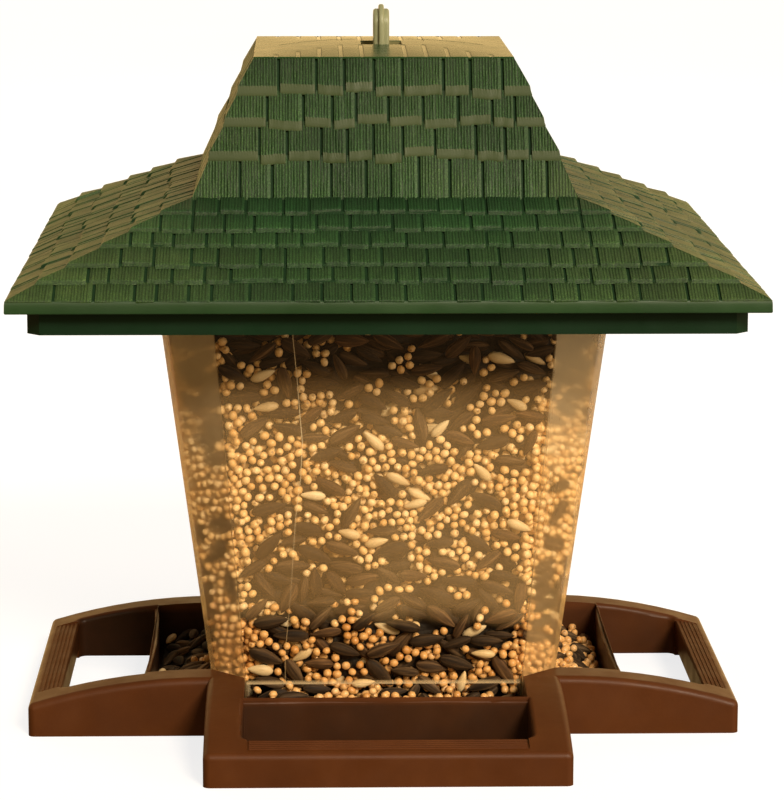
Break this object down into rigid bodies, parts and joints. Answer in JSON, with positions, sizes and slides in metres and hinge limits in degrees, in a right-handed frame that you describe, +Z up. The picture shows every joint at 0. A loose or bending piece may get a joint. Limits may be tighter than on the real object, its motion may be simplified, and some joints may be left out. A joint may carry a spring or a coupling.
{
  "type": "lantern bird feeder",
  "caption": "Hanging lantern bird feeder: shingled lift-off roof over a clear tapered seed hopper, on a plus-shaped tray with feeding troughs and perches.",
  "frame": {"origin": "centre of the base's underside, on the surface that the feeder stands on", "axes": "+Z up along the hanger, -Y to the front, +X to the right; the four arms of the base lie along X and Y"},
  "size_m": [0.2484, 0.2484, 0.2498],
  "materials": {
    "roof_green": "satin moulded, with wood-grain shingles",
    "clear_plastic": "clear, slightly hazed",
    "base_brown": "satin moulded",
    "hanger_grey_green": "satin moulded",
    "steel": "zinc plated",
    "seed_mix": "millet, black sunflower seed and sunflower hearts"
  },
  "bodies": {
    "feeder": {"hopper": "clear_plastic", "base_tray": "base_brown", "seed_deflector": "base_brown", "hanger_bridge": "hanger_grey_green", "bridge_screws": "steel", "hopper_screws": "steel", "seed_fill": "seed_mix", "trough_seed_front": "seed_mix", "trough_seed_back": "seed_mix", "trough_seed_left": "seed_mix", "trough_seed_right": "seed_mix"},
    "roof": {"roof_shell": "roof_green", "soffit_tray": "roof_green"},
    "hanger": {"hanger_loop": "hanger_grey_green", "hanger_washer": "steel", "retaining_clip": "steel"}
  },
  "joints": [
    {"name": "roof_lift", "type": "slide", "parent": "feeder", "child": "roof", "axis": [0, 0, 1], "range_m": [0, 0.12]},
    {"name": "hanger_lock", "type": "hinge", "parent": "feeder", "child": "hanger", "pos_m": [0, 0, 0.2], "axis": [0, 0, 1], "range_deg": [0, 90]}
  ]
}
